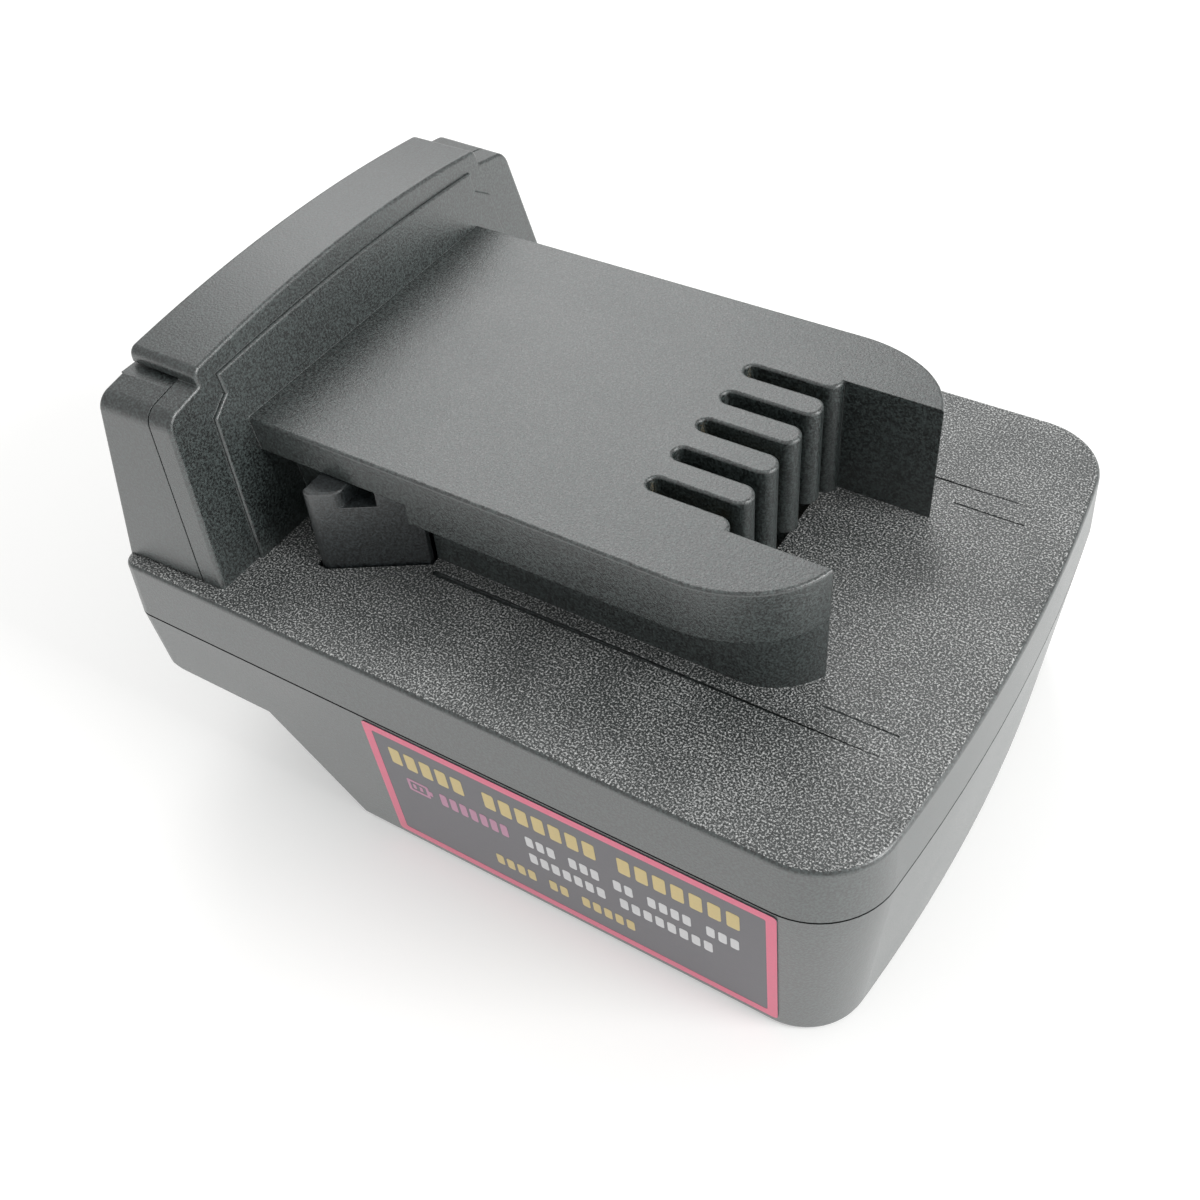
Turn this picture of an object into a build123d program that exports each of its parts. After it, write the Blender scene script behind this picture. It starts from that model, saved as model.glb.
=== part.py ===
"""Adapter between a slide-on tool battery and a cordless tool's rail.

Frame: +X points to the slotted end that enters the tool, +Z up, right is -Y.
The origin lies in the underside's plane, below the middle of the body.
"""
import os

from build123d import *

# Body: an upper shell with a flat deck on a deeper lower shell, bowed at the front
body_length = 104.0
body_width = 79.6
body_height = 35.0
skirt_height = 8.6
wall = 2.4
deck_thickness = 2.4
deck_inset = 0.4
base_inset = 1.8
front_bow = 3.0
front_corner_r = 10.0
rear_corner_r = 2.4
least_corner_r = 1.2
rim_r = 0.7
base_r = 0.9
overrun = 1.0
slip = 0.1
sliding_gap = 0.2
skin_gap = 0.3

# Rear of the underside, raised to clear the pack's own release button
raise_height = 15.8
raise_length = 19.2
raise_slope_length = 12.4
raise_corner_r = 4.0

# Rail that the tool slides over
rail_width = 48.0
rail_height = 16.7
rail_length = 72.0
flange_thickness = 7.4
relieved_flange = 4.5
web_width = 40.0
web_wall = 2.2
rail_edge_r = 0.4
side_curve_length = 14.0
tip_curve_length = 5.5
tip_curve_drop = 2.3
web_curve_length = 8.0
web_tip_length = 4.0
web_curve_drop = 1.1

# Recess between the rail's prongs, with slots for the tool's blades
recess_width = 29.4
slot_count = 5
slot_pitch = 5.78
slot_width = 2.28
slot_start = 48.0
finger_end = 59.6
slot_floor = 0.5
finger_root = 46.0
finger_lift = 2.7
pit_end = 58.0
pit_depth = 1.4

# Hump at the rear end of the deck
hump_reach = 14.0
hump_inset = 0.5
hump_height = 27.3
hump_crown = 1.8
hump_half_top = 28.2
hump_step = 1.9
shoulder_width = 5.6
shoulder_fall = 1.0
shoulder_r = 2.4
foot_half = 37.2
cheek_flare = 0.7
hump_front_foot = 2.0
hump_front_lean = 4.7
hump_rear_lean = 0.8
hump_edge_r = 0.5
band_end_r = 1.2
panel_proud = 0.5
panel_drop = 2.8
panel_half_top = 25.4
panel_step = 2.6
panel_shoulder_width = 2.8
panel_shoulder_fall = 1.8
panel_foot_half = 30.6
panel_edge_r = 0.3
hump_wall = 2.2

# Release buttons in the hump's cheeks
strip_depth = 3.2
button_travel = 3.6
button_slit = 0.5
band_thickness = 1.7
button_wall = 1.8
button_post = 4.0
button_post_in = 4.6
shoulder_inner = 32.6
shoulder_bond = 10.0
tongue_thickness = 1.2
centre_wall = 2.0

# Latch sliders and their claws
claw_gap = 9.6
claw_length = 12.2
claw_reach = 27.7
claw_front_reach = 21.0
claw_root = 20.3
claw_height = 12.0
tooth_length = 4.3
tooth_r = 1.6
notch_length = 3.6
notch_depth = 2.4
claw_r = 1.3
claw_top_r = 0.3
slider_thickness = 2.6
slider_inner = 14.0
slider_tail_length = 6.2
slider_tail_outer = 34.6
slider_outer = 28.2
spring_wall = 2.0
spring_wall_height = 6.2
spring_peg_r = 1.5
spring_peg_length = 2.2
spring_r = 2.7
spring_wire = 0.7
spring_turns = 6.5
spring_place = 5.0
anchor_length = 7.0
anchor_width = 3.2

# Receptacle for the pack, open at the rear and below
channel_width = 59.0
throat_width = 50.0
lip_height = 6.0
ceiling_height = 19.5
ceiling_thickness = 2.2
channel_end = 75.8
pocket_start = 12.5
pocket_length = 9.0
pocket_width = 16.0
pocket_rise = 2.7
lip_rim = 1.1
lip_rise = 1.6
rib_width = 2.2
rib_from_panel = 6.0

# Tool-side contacts and the carrier that holds them
contact_thickness = 0.5
contact_width = 2.1
contact_height = 8.6
contact_base = 43.2
contact_straight = 6.0
contact_pinch = 4.0
contact_flare = 2.4
pinch_half = 0.5
flare_half = 0.85
contact_floor = 2.2
tail_width = 5.0
tail_height = 5.5
tail_drop = 0.5
signal_tail_width = 3.0
carrier_start = 36.0
carrier_slack = 0.15
ear_reach = 27.2
ear_length = 7.0
ear_thickness = 2.5
ear_boss_height = 3.0
ear_boss_r = 3.0
ear_screw_y = 23.4
ear_screw_x = 40.0

# Battery-side terminal block and its blades
block_length = 7.6
block_width = 44.0
block_height = 12.4
blade_thickness = 0.8
blade_height = 7.0
blade_reach = 16.0
blade_drop = 2.6
blade_tail_length = 4.0
blade_tail_in = 1.8
blade_tail_rise = 4.2
blade_pitch = 16.0
blade_lead_in = 1.2
block_edge_r = 0.8
block_screw_y = 8.0

# Leads and the resistor on the signal lead
power_lead_r = 1.3
signal_lead_r = 0.75
power_bend_r = 9.0
signal_bend_r = 4.0
lead_out = 6.3
lead_in = 6.5
signal_out = 3.5
signal_in = 3.3
resistor_start = 58.0
resistor_length = 7.0
resistor_r = 1.6
resistor_edge_r = 0.6

# Screws
housing_screw_r = 1.45
housing_screw_head_r = 2.8
housing_screw_head = 2.0
housing_screw_length = 10.5
housing_screw_seat = 6.0
housing_boss_r = 3.2
housing_well_wall = 1.2
small_screw_r = 1.1
small_screw_head_r = 2.1
small_screw_head = 1.5
small_screw_length = 5.0
thread_gap = 0.05
screw_tip = 0.6
drive_width = 0.7
drive_depth = 0.9
head_edge_r = 0.5
drive_reach_share = 0.62
rear_screw_x = 14.2
rear_screw_y = 34.0
front_screw_x = 9.8
front_screw_y = 29.6
well_gap = 0.4

# Groove and fine scored line on each side of the rail, and the label on the right wall
groove_width = 0.9
groove_depth = 0.45
groove_y = 22.2
groove_start = 23.0
groove_mid = 60.0
groove_end = 82.4
groove_mid_width = 0.45
groove_end_width = 0.1
groove_fade = 7.0
score_y = 18.7
score_start = 73.5
score_end = 82.6
score_width = 0.25
score_depth = 0.15
label_length = 55.5
label_height = 24.2
label_thickness = 0.15
label_start = 23.45
label_drop = 0.6
label_r = 0.6

# Places worked out from the sizes above
rear_x = -body_length / 2
front_x = body_length / 2
deck_z = body_height
parting_z = deck_z - skirt_height
under_deck_z = deck_z - deck_thickness
panel_x = rear_x + hump_reach
rail_top_z = deck_z + rail_height
flange_z = rail_top_z - flange_thickness
relief_z = rail_top_z - relieved_flange
rail_tip_x = panel_x + rail_length
comb_x = panel_x + slot_start - overrun
roof_z = rail_top_z - web_wall
hollow_half = web_width / 2 - web_wall
ceiling_z = ceiling_height
floor_z = ceiling_z + ceiling_thickness
channel_end_x = panel_x + channel_end
front_lean_rate = hump_front_lean / hump_height
rear_lean_rate = hump_rear_lean / hump_height
band_under_z = deck_z + hump_height - hump_crown - band_thickness
button_top_z = band_under_z - button_slit
button_foot_z = deck_z + skin_gap
centre_half = hump_half_top - button_travel
post_x = rear_x + hump_inset + button_post_in
post_y = foot_half - button_wall - button_post / 2 - sliding_gap
claw_x = panel_x + claw_gap
claw_front_x = claw_x + claw_length
claw_top_z = deck_z + claw_height
slider_top_z = under_deck_z - slip
slider_z = slider_top_z - slider_thickness
seat_z = parting_z - housing_screw_seat
ear_z = under_deck_z - ear_boss_height - ear_thickness
tail_z = ear_z - tail_drop
lead_z = tail_z + tail_height / 2
contact_base_x = panel_x + contact_base
contact_front_x = contact_base_x + contact_thickness
contact_low_z = deck_z + contact_floor
carrier_half = hollow_half - carrier_slack
carrier_top_z = roof_z - carrier_slack
tail_lead_z = floor_z + blade_tail_rise / 2
resistor_z = floor_z + resistor_r
resistor_x = panel_x + resistor_start
spring_x = panel_x + spring_place
spring_z = slider_top_z - spring_wall_height / 2
block_x = channel_end_x - block_length
blade_tail_x = block_x + blade_tail_in
sides = (-1, 1)
screw_places = [(rear_x + rear_screw_x, s * rear_screw_y) for s in sides]
screw_places += [(front_x - front_screw_x, s * front_screw_y) for s in sides]
ear_places = [(panel_x + ear_screw_x, s * ear_screw_y) for s in sides]
block_screw_places = [(channel_end_x - block_length / 2, s * block_screw_y) for s in sides]


def body_plan(z, inset):
    """Plan outline of the body at height z, drawn in by inset all round."""
    half = body_width / 2 - inset
    corner_x = front_x - front_bow - inset
    with BuildSketch(Plane.XY.offset(z)) as plan:
        with BuildLine():
            Polyline((corner_x, -half), (rear_x + inset, -half), (rear_x + inset, half), (corner_x, half))
            ThreePointArc((corner_x, half), (front_x - inset, 0), (corner_x, -half))
        make_face()
        fillet(plan.vertices().sort_by(Axis.X)[:2], max(rear_corner_r - inset, least_corner_r))
        fillet(plan.vertices().sort_by(Axis.X)[-2:], front_corner_r - inset)
    return plan.sketch


def rail_plan(z, half, curve_length, tip_length, drop):
    """Plan outline of the rail at height z, its sides curving in to the prong tips."""
    with BuildSketch(Plane.XY.offset(z)) as plan:
        with BuildLine():
            side = Line((panel_x - hump_wall, half), (rail_tip_x - curve_length, half))
            curve = TangentArc(side @ 1, (rail_tip_x - tip_length, half - drop), tangent=side % 1)
            tip = TangentArc(curve @ 1, (rail_tip_x, recess_width / 2), tangent=curve % 1)
            Polyline(tip @ 1, (rail_tip_x, 0), (panel_x - hump_wall, 0), side @ 0)
        make_face()
        mirror(about=Plane.XZ)
    return plan.sketch


def hump_outline(x, widen):
    """The hump's outline seen from the front: crowned band, step, shoulder and cheek."""
    top_z = deck_z + hump_height
    end_z = top_z - hump_crown
    step_z = end_z - hump_step
    corner_y = hump_half_top + shoulder_width
    with BuildSketch(Plane.YZ.offset(x)) as outline:
        with BuildLine():
            ThreePointArc((-hump_half_top, end_z), (0, top_z), (hump_half_top, end_z))
            for side in sides:
                Polyline(
                    (side * hump_half_top, end_z),
                    (side * hump_half_top, step_z),
                    (side * (corner_y + widen), step_z - shoulder_fall),
                    (side * (foot_half + widen), deck_z - overrun),
                )
            Line((-foot_half - widen, deck_z - overrun), (foot_half + widen, deck_z - overrun))
        make_face()
        fillet(outline.vertices().filter_by_position(Axis.Y, end_z - slip, end_z + slip), band_end_r)
        low, high = step_z - shoulder_fall - slip, step_z - shoulder_fall + slip
        fillet(outline.vertices().filter_by_position(Axis.Y, low, high), shoulder_r)
    return outline.sketch


def panel_outline(x):
    """Outline of the raised panel on the hump's front, inside the hump's own outline."""
    top_z = deck_z + hump_height - panel_drop
    end_z = top_z - hump_crown / 2
    step_z = end_z - panel_step
    corner_y = panel_half_top + panel_shoulder_width
    corner_z = step_z - panel_shoulder_fall
    with BuildSketch(Plane.YZ.offset(x)) as outline:
        with BuildLine():
            ThreePointArc((-panel_half_top, end_z), (0, top_z), (panel_half_top, end_z))
            for side in sides:
                Polyline(
                    (side * panel_half_top, end_z),
                    (side * panel_half_top, step_z),
                    (side * corner_y, corner_z),
                    (side * panel_foot_half, deck_z - overrun),
                )
            Line((-panel_foot_half, deck_z - overrun), (panel_foot_half, deck_z - overrun))
        make_face()
    return outline.sketch


def hump_depth_profile(front_shift, rear_shift, low_z, high_z):
    """Side profile between the hump's leaning front and rear faces, each moved along X."""
    front_foot = panel_x + hump_front_foot + front_shift
    rear_foot = rear_x + hump_inset + rear_shift
    with BuildSketch(Plane.XZ) as profile:
        with BuildLine():
            Polyline(
                (rear_foot + (low_z - deck_z) * rear_lean_rate, low_z),
                (front_foot - (low_z - deck_z) * front_lean_rate, low_z),
                (front_foot - (high_z - deck_z) * front_lean_rate, high_z),
                (rear_foot + (high_z - deck_z) * rear_lean_rate, high_z),
                close=True,
            )
        make_face()
    return profile.sketch


def face_rim(face):
    """Edges round an upright face, apart from its foot."""
    foot_z = min(edge.center().Z for edge in face.edges())
    return [edge for edge in face.edges() if edge.center().Z > foot_z + slip]


def make_hump_form():
    """The hump as one solid, before the button pockets are cut from it."""
    top = deck_z + hump_height + overrun
    with BuildPart() as form:
        front_outline = hump_outline(panel_x + hump_front_foot + overrun, 0)
        loft([hump_outline(rear_x, cheek_flare), front_outline], ruled=True)
        profile = hump_depth_profile(0, 0, deck_z - overrun, top)
        extrude(profile, amount=body_width, both=True, mode=Mode.INTERSECT)
        ends = form.faces().sort_by(Axis.X)
        fillet(face_rim(ends[0]) + face_rim(ends[-1]), hump_edge_r)
    return form.part


def make_panel_form():
    """The raised panel on the hump's front."""
    top = deck_z + hump_height
    with BuildPart() as form:
        extrude(panel_outline(panel_x - hump_reach / 2), amount=hump_reach)
        profile = hump_depth_profile(panel_proud, hump_reach / 2, deck_z - overrun, top)
        extrude(profile, amount=body_width, both=True, mode=Mode.INTERSECT)
        fillet(face_rim(form.faces().sort_by(Axis.X)[-1]), panel_edge_r)
    return form.part


def block(x, y, z, mode=Mode.ADD):
    """Box between low and high corners, each axis given as a (low, high) pair."""
    centre = ((x[0] + x[1]) / 2, (y[0] + y[1]) / 2, (z[0] + z[1]) / 2)
    with Locations(centre):
        Box(x[1] - x[0], y[1] - y[0], z[1] - z[0], mode=mode)


def post(x, y, z, radius, mode=Mode.ADD):
    """Upright cylinder between two heights."""
    with Locations((x, y, z[0])):
        Cylinder(radius, z[1] - z[0], align=(Align.CENTER, Align.CENTER, Align.MIN), mode=mode)


def slot_ys():
    """Where the slots' centre lines lie across the rail."""
    return [(index - (slot_count - 1) / 2) * slot_pitch for index in range(slot_count)]


def make_comb():
    """The fingers between the slots: round tips, eased top edges, half a finger at each side."""
    finger_r = (slot_pitch - slot_width) / 2
    slot_r = slot_width / 2
    open_x = panel_x + finger_end - finger_r
    round_x = panel_x + slot_start + slot_r
    with BuildPart() as comb:
        with BuildSketch(Plane.XY.offset(deck_z)):
            with Locations((comb_x, 0)):
                Rectangle(open_x - comb_x, recess_width, align=(Align.MIN, Align.CENTER))
            for index in range(slot_count + 1):
                with Locations((open_x, (index - slot_count / 2) * slot_pitch)):
                    Circle(finger_r)
            for y in slot_ys():
                with Locations((round_x, y)):
                    Circle(slot_r, mode=Mode.SUBTRACT)
                    Rectangle(body_length, slot_width, align=(Align.MIN, Align.CENTER), mode=Mode.SUBTRACT)
            with Locations((comb_x, 0)):
                Rectangle(body_length, recess_width, align=(Align.MIN, Align.CENTER), mode=Mode.INTERSECT)
        extrude(amount=rail_height)
        top = comb.faces().sort_by(Axis.Z)[-1]
        inner = [e for e in top.edges() if abs(abs(e.center().Y) - recess_width / 2) > slip]
        fillet([e for e in inner if e.center().X > comb_x + slip], rail_edge_r)
    return comb.part


def make_rail_form():
    """The rail's solid form: a web under an overhanging flange, slotted at the front."""
    flange_half = rail_width / 2
    web_half = web_width / 2
    relief_end = claw_front_x + 2 * skin_gap
    with BuildPart() as form:
        web = rail_plan(deck_z - overrun, web_half, web_curve_length, web_tip_length, web_curve_drop)
        extrude(web, amount=flange_z + slip - deck_z + overrun)
        flange = rail_plan(flange_z, flange_half, side_curve_length, tip_curve_length, tip_curve_drop)
        extrude(flange, amount=flange_thickness)
        for side in sides:
            band = sorted((side * web_half, side * (flange_half + overrun)))
            block((panel_x - hump_reach, relief_end), band, (flange_z - overrun, relief_z), Mode.SUBTRACT)
        # Space between the prongs, whose inner edges stay sharp
        recess_y = (-recess_width / 2, recess_width / 2)
        block((comb_x, rail_tip_x + overrun), recess_y, (deck_z, rail_top_z + overrun), Mode.SUBTRACT)
        top = form.faces().sort_by(Axis.Z)[-1]
        fillet([e for e in top.edges() if abs(e.center().Y) > recess_width / 2 + slip], rail_edge_r)
        add(make_comb())
    return form.part


def claw_plan(side, root, grow):
    """Plan of one claw: a steep catch face behind, a ramp in front, rounded at its reach."""
    with BuildSketch(Plane.XY.offset(slider_z)) as plan:
        with BuildLine():
            Polyline(
                (claw_x, side * root),
                (claw_x, side * claw_reach),
                (claw_x + claw_r, side * claw_reach),
                (claw_front_x, side * claw_front_reach),
                (claw_front_x, side * root),
                close=True,
            )
        make_face()
        tips = [v for v in plan.vertices() if abs(v.Y) > claw_reach - slip]
        fillet(tips[:1], claw_r / 2)
        tips = [v for v in plan.vertices() if abs(v.Y) > claw_reach - slip]
        fillet(sorted(tips, key=lambda v: v.X)[-1:], claw_r)
        if grow:
            offset(amount=grow, kind=Kind.INTERSECTION)
    return plan.sketch


def make_groove(side):
    """Groove beside the rail, narrowing towards its front end, where it runs out."""
    stations = [(groove_start, groove_width), (groove_mid, groove_mid_width), (groove_end, groove_end_width)]
    near = [(panel_x + x, side * groove_y - width / 2) for x, width in stations]
    far = [(panel_x + x, side * groove_y + width / 2) for x, width in reversed(stations)]
    with BuildPart() as form:
        with BuildSketch(Plane.XZ) as depth:
            with BuildLine():
                Polyline(
                    (panel_x + groove_start, deck_z + overrun),
                    (panel_x + groove_start, deck_z - groove_depth),
                    (panel_x + groove_end - groove_fade, deck_z - groove_depth),
                    (panel_x + groove_end, deck_z),
                    (panel_x + groove_end, deck_z + overrun),
                    close=True,
                )
            make_face()
        extrude(depth.sketch, amount=body_width, both=True)
        with BuildSketch(Plane.XY.offset(deck_z - overrun)) as plan:
            with BuildLine():
                Polyline(*near, *far, close=True)
            make_face()
        extrude(plan.sketch, amount=2 * overrun, mode=Mode.INTERSECT)
    return form.part


def ordered(first, second):
    """Two values as a (low, high) pair."""
    return (min(first, second), max(first, second))


def band(side, near, far):
    """Low and high Y between two distances from the middle plane, on one side."""
    return ordered(side * near, side * far)


def button_depth(front_shift, rear_shift, low_z, high_z, side, half):
    """Solid between the hump's leaning faces, from a distance off the middle plane outwards."""
    profile = hump_depth_profile(front_shift, rear_shift, low_z, high_z)
    with BuildPart() as form:
        extrude(profile, amount=body_width, both=True)
        block((rear_x - body_length, front_x), band(side, half, body_width), (low_z, high_z), Mode.INTERSECT)
    return form.part


hump_form = make_hump_form()
rail_form = make_rail_form()

# Upper shell: deck, skirt, rail and the fixed part of the hump
with BuildPart() as upper_shell:
    loft([body_plan(parting_z, 0), body_plan(deck_z, deck_inset)], ruled=True)
    fillet(upper_shell.edges().group_by(Axis.Z)[-1], rim_r)
    inner_low = body_plan(parting_z, wall)
    inner_high = body_plan(under_deck_z, deck_inset + wall)
    loft([inner_low, inner_high], ruled=True, mode=Mode.SUBTRACT)
    add(hump_form)
    add(make_panel_form())
    add(rail_form)

    # Hollow inside the hump and the rail, open to the inside of the body
    inside_half = centre_half - centre_wall
    hump_inside = hump_depth_profile(
        panel_proud - hump_wall, hump_wall, under_deck_z - overrun, band_under_z - panel_drop
    )
    extrude(hump_inside, amount=inside_half, both=True, mode=Mode.SUBTRACT)
    rail_inside_x = panel_x - hump_reach / 2
    block(
        (rail_inside_x, panel_x + finger_root),
        (-hollow_half, hollow_half),
        (under_deck_z - overrun, roof_z),
        Mode.SUBTRACT,
    )
    for y in slot_ys():
        block(
            (panel_x + finger_root - overrun, panel_x + slot_start + slot_width),
            (y - slot_width / 2, y + slot_width / 2),
            (deck_z + slot_floor, roof_z),
            Mode.SUBTRACT,
        )
    # Clear space under the fingers, and the shallow pit in the deck below them
    slots_y = (slot_ys()[0] - slot_width / 2, slot_ys()[-1] + slot_width / 2)
    slots_x = panel_x + slot_start
    lift_x = (slots_x, panel_x + finger_end + overrun)
    block(lift_x, slots_y, (deck_z, deck_z + finger_lift), Mode.SUBTRACT)
    block((slots_x, panel_x + pit_end), slots_y, (deck_z - pit_depth, deck_z + slip), Mode.SUBTRACT)

    for side in sides:
        # Pocket that the release button slides in, and the hole for its post
        pocket = button_depth(-strip_depth, -overrun, deck_z, band_under_z, side, centre_half)
        add(pocket, mode=Mode.SUBTRACT)
        tongue_room = button_depth(
            -strip_depth,
            -overrun,
            button_top_z - tongue_thickness - sliding_gap,
            band_under_z,
            side,
            centre_half - button_travel,
        )
        add(tongue_room, mode=Mode.SUBTRACT)
        post_room = button_post / 2 + skin_gap
        block(
            (post_x - post_room, post_x + post_room),
            band(side, post_y - button_travel - post_room, post_y + post_room),
            (under_deck_z - overrun, deck_z + overrun),
            Mode.SUBTRACT,
        )
        # Window for the claw, through the deck and the rail's web
        window = claw_plan(side, claw_root - button_travel - skin_gap, skin_gap)
        extrude(window, amount=relief_z - slider_z, mode=Mode.SUBTRACT)
        # Groove along the rail, and the scored line ahead of the rail's tip
        add(make_groove(side), mode=Mode.SUBTRACT)
        block(
            (panel_x + score_start, panel_x + score_end),
            band(side, score_y - score_width / 2, score_y + score_width / 2),
            (deck_z - score_depth, deck_z + overrun),
            Mode.SUBTRACT,
        )

    # Screw bosses under the deck
    for x, y in screw_places:
        post(x, y, (parting_z, under_deck_z + slip), housing_boss_r)
        hole_top = seat_z + housing_screw_length + skin_gap
        post(x, y, (parting_z, hole_top), housing_screw_r + thread_gap, Mode.SUBTRACT)
    for x, y in ear_places:
        post(x, y, (under_deck_z - ear_boss_height, under_deck_z + slip), ear_boss_r)
        hole_top = ear_z + small_screw_length + skin_gap
        post(x, y, (under_deck_z - ear_boss_height, hole_top), small_screw_r + thread_gap, Mode.SUBTRACT)
upper_shell.part.label = "upper_shell"


def lower_outer_form():
    """Outside of the lower shell: drawn in to its base, its underside raised at the rear."""
    slope_x = rear_x + raise_length
    heel_z = raise_height + raise_corner_r
    heel_x = rear_x + base_inset * (1 - heel_z / parting_z) - slip
    with BuildPart() as form:
        loft([body_plan(0, base_inset), body_plan(parting_z, 0)], ruled=True)
        fillet(form.edges().group_by(Axis.Z)[0], base_r)
        with BuildSketch(Plane.XZ) as raised:
            with BuildLine():
                Polyline(
                    (heel_x, heel_z),
                    (rear_x - overrun, heel_z),
                    (rear_x - overrun, -overrun),
                    (slope_x + raise_slope_length, -overrun),
                    (slope_x + raise_slope_length, 0),
                    (slope_x, raise_height),
                    (heel_x + raise_corner_r, raise_height),
                )
                TangentArc((heel_x + raise_corner_r, raise_height), (heel_x, heel_z), tangent=(-1, 0))
            make_face()
        extrude(raised.sketch, amount=body_width, both=True, mode=Mode.SUBTRACT)
    return form.part


def lower_inner_form():
    """Inside of the lower shell, one wall in from the outside all over."""
    slope_x = rear_x + raise_length
    floor = raise_height + wall
    with BuildPart() as form:
        loft([body_plan(0, base_inset + wall), body_plan(parting_z, wall)], ruled=True)
        with BuildSketch(Plane.XZ) as under:
            with BuildLine():
                Polyline(
                    (rear_x - overrun, -overrun),
                    (rear_x - overrun, floor),
                    (slope_x + wall, floor),
                    (slope_x + raise_slope_length + wall, wall),
                    (front_x + overrun, wall),
                    (front_x + overrun, -overrun),
                    close=True,
                )
            make_face()
        extrude(under.sketch, amount=body_width, both=True, mode=Mode.SUBTRACT)
    return form.part


lower_form = lower_outer_form()

# Lower shell: outer walls, and between them the receptacle that the pack slides into
with BuildPart() as lower_shell:
    add(lower_form)
    add(lower_inner_form(), mode=Mode.SUBTRACT)
    with BuildPart(mode=Mode.PRIVATE) as tunnel:
        add(lower_form)
        block(
            (rear_x, channel_end_x + wall),
            (-channel_width / 2 - wall, channel_width / 2 + wall),
            (0, floor_z),
            Mode.INTERSECT,
        )
    add(tunnel.part)
    # Pocket above the ceiling for the pack's latch
    pocket_x = (panel_x + pocket_start, panel_x + pocket_start + pocket_length)
    block(
        (pocket_x[0] - wall, pocket_x[1] + wall),
        (-pocket_width / 2 - wall, pocket_width / 2 + wall),
        (floor_z - slip, floor_z + pocket_rise),
    )
    # Channel for the pack's rails, and the narrower throat below it
    channel_x = (rear_x - overrun, channel_end_x)
    block(channel_x, (-channel_width / 2, channel_width / 2), (lip_height, ceiling_z), Mode.SUBTRACT)
    block(channel_x, (-throat_width / 2, throat_width / 2), (-overrun, ceiling_z), Mode.SUBTRACT)
    block(
        pocket_x,
        (-pocket_width / 2, pocket_width / 2),
        (ceiling_z - overrun, ceiling_z + pocket_rise),
        Mode.SUBTRACT,
    )
    # Rim that locates the upper shell
    low = parting_z - lip_rise
    with BuildPart(mode=Mode.PRIVATE) as rim:
        extrude(body_plan(low, wall - slip), amount=lip_rise)
        extrude(body_plan(parting_z, wall + 2 * slip), amount=lip_rise)
        extrude(body_plan(low, wall + lip_rim), amount=3 * lip_rise, mode=Mode.SUBTRACT)
        for x, y in screw_places:
            post(x, y, (parting_z, parting_z + 2 * lip_rise), housing_boss_r + slip, Mode.SUBTRACT)
    add(rim.part)
    # Ribs under the latch sliders, and the post between their springs
    for side in sides:
        for rib_x in (panel_x - rib_from_panel, claw_front_x - rib_width):
            rib_y = band(side, slider_inner + spring_wall + overrun, slider_outer - overrun)
            block((rib_x, rib_x + rib_width), rib_y, (floor_z - slip, slider_z - slip))
    anchor_x = (spring_x - anchor_length / 2, spring_x + anchor_length / 2)
    anchor_y = (-anchor_width / 2, anchor_width / 2)
    block(anchor_x, anchor_y, (floor_z - slip, slider_top_z))
    for side in sides:
        with Locations(Location((spring_x, side * anchor_width / 2, spring_z), (-90 * side, 0, 0))):
            Cylinder(spring_peg_r, spring_peg_length, align=(Align.CENTER, Align.CENTER, Align.MIN))
    # Wells and clearance holes for the housing screws
    for x, y in screw_places:
        well_r = housing_screw_head_r + well_gap
        with BuildPart(mode=Mode.PRIVATE) as boss:
            post(x, y, (0, parting_z), well_r + housing_well_wall)
            add(lower_form, mode=Mode.INTERSECT)
        add(boss.part)
        post(x, y, (-overrun, seat_z), well_r, Mode.SUBTRACT)
        post(x, y, (seat_z - overrun, parting_z + overrun), housing_screw_r + slip, Mode.SUBTRACT)
    # Slots for the blades' tails and holes for the block's screws, in the ceiling
    for y in (-blade_pitch, 0, blade_pitch):
        block(
            (blade_tail_x - slip, blade_tail_x + blade_tail_length + slip),
            (y - blade_thickness / 2 - slip, y + blade_thickness / 2 + slip),
            (ceiling_z - overrun, floor_z + overrun),
            Mode.SUBTRACT,
        )
    for x, y in block_screw_places:
        post(x, y, (ceiling_z - overrun, floor_z + overrun), small_screw_r + slip, Mode.SUBTRACT)
lower_shell.part.label = "lower_shell"

# Right release button: the rear of the hump's cheek and shoulder, with a post to its slider
with BuildPart() as release_button_right:
    add(button_depth(-strip_depth - sliding_gap, 0, button_foot_z, button_top_z, -1, centre_half))
    add(hump_form, mode=Mode.INTERSECT)
    block((rear_x, front_x), band(-1, hump_half_top + slip, body_width), (0, rail_top_z * 2), Mode.INTERSECT)
    with BuildPart(mode=Mode.PRIVATE) as inside:
        add(
            button_depth(
                -strip_depth - sliding_gap - button_wall,
                button_wall,
                deck_z,
                button_top_z - hump_step - button_wall,
                -1,
                hump_half_top + button_wall,
            )
        )
        block((rear_x, front_x), band(-1, 0, shoulder_inner), (0, rail_top_z * 2), Mode.INTERSECT)
    add(inside.part, mode=Mode.SUBTRACT)
    # Tongue that keeps the gap under the band closed
    with BuildPart(mode=Mode.PRIVATE) as tongue:
        add(
            button_depth(
                -strip_depth - sliding_gap,
                0,
                button_top_z - tongue_thickness,
                button_top_z,
                -1,
                centre_half + sliding_gap,
            )
        )
        tongue_y = band(-1, 0, hump_half_top + button_wall)
        block((rear_x, front_x), tongue_y, (0, rail_top_z * 2), Mode.INTERSECT)
    add(tongue.part)
    block(
        (post_x - button_post / 2, post_x + button_post / 2),
        band(-1, post_y - button_post / 2, post_y + button_post / 2),
        (slider_z + overrun, deck_z + shoulder_bond),
    )
release_button_right.part.label = "release_button_right"

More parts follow.
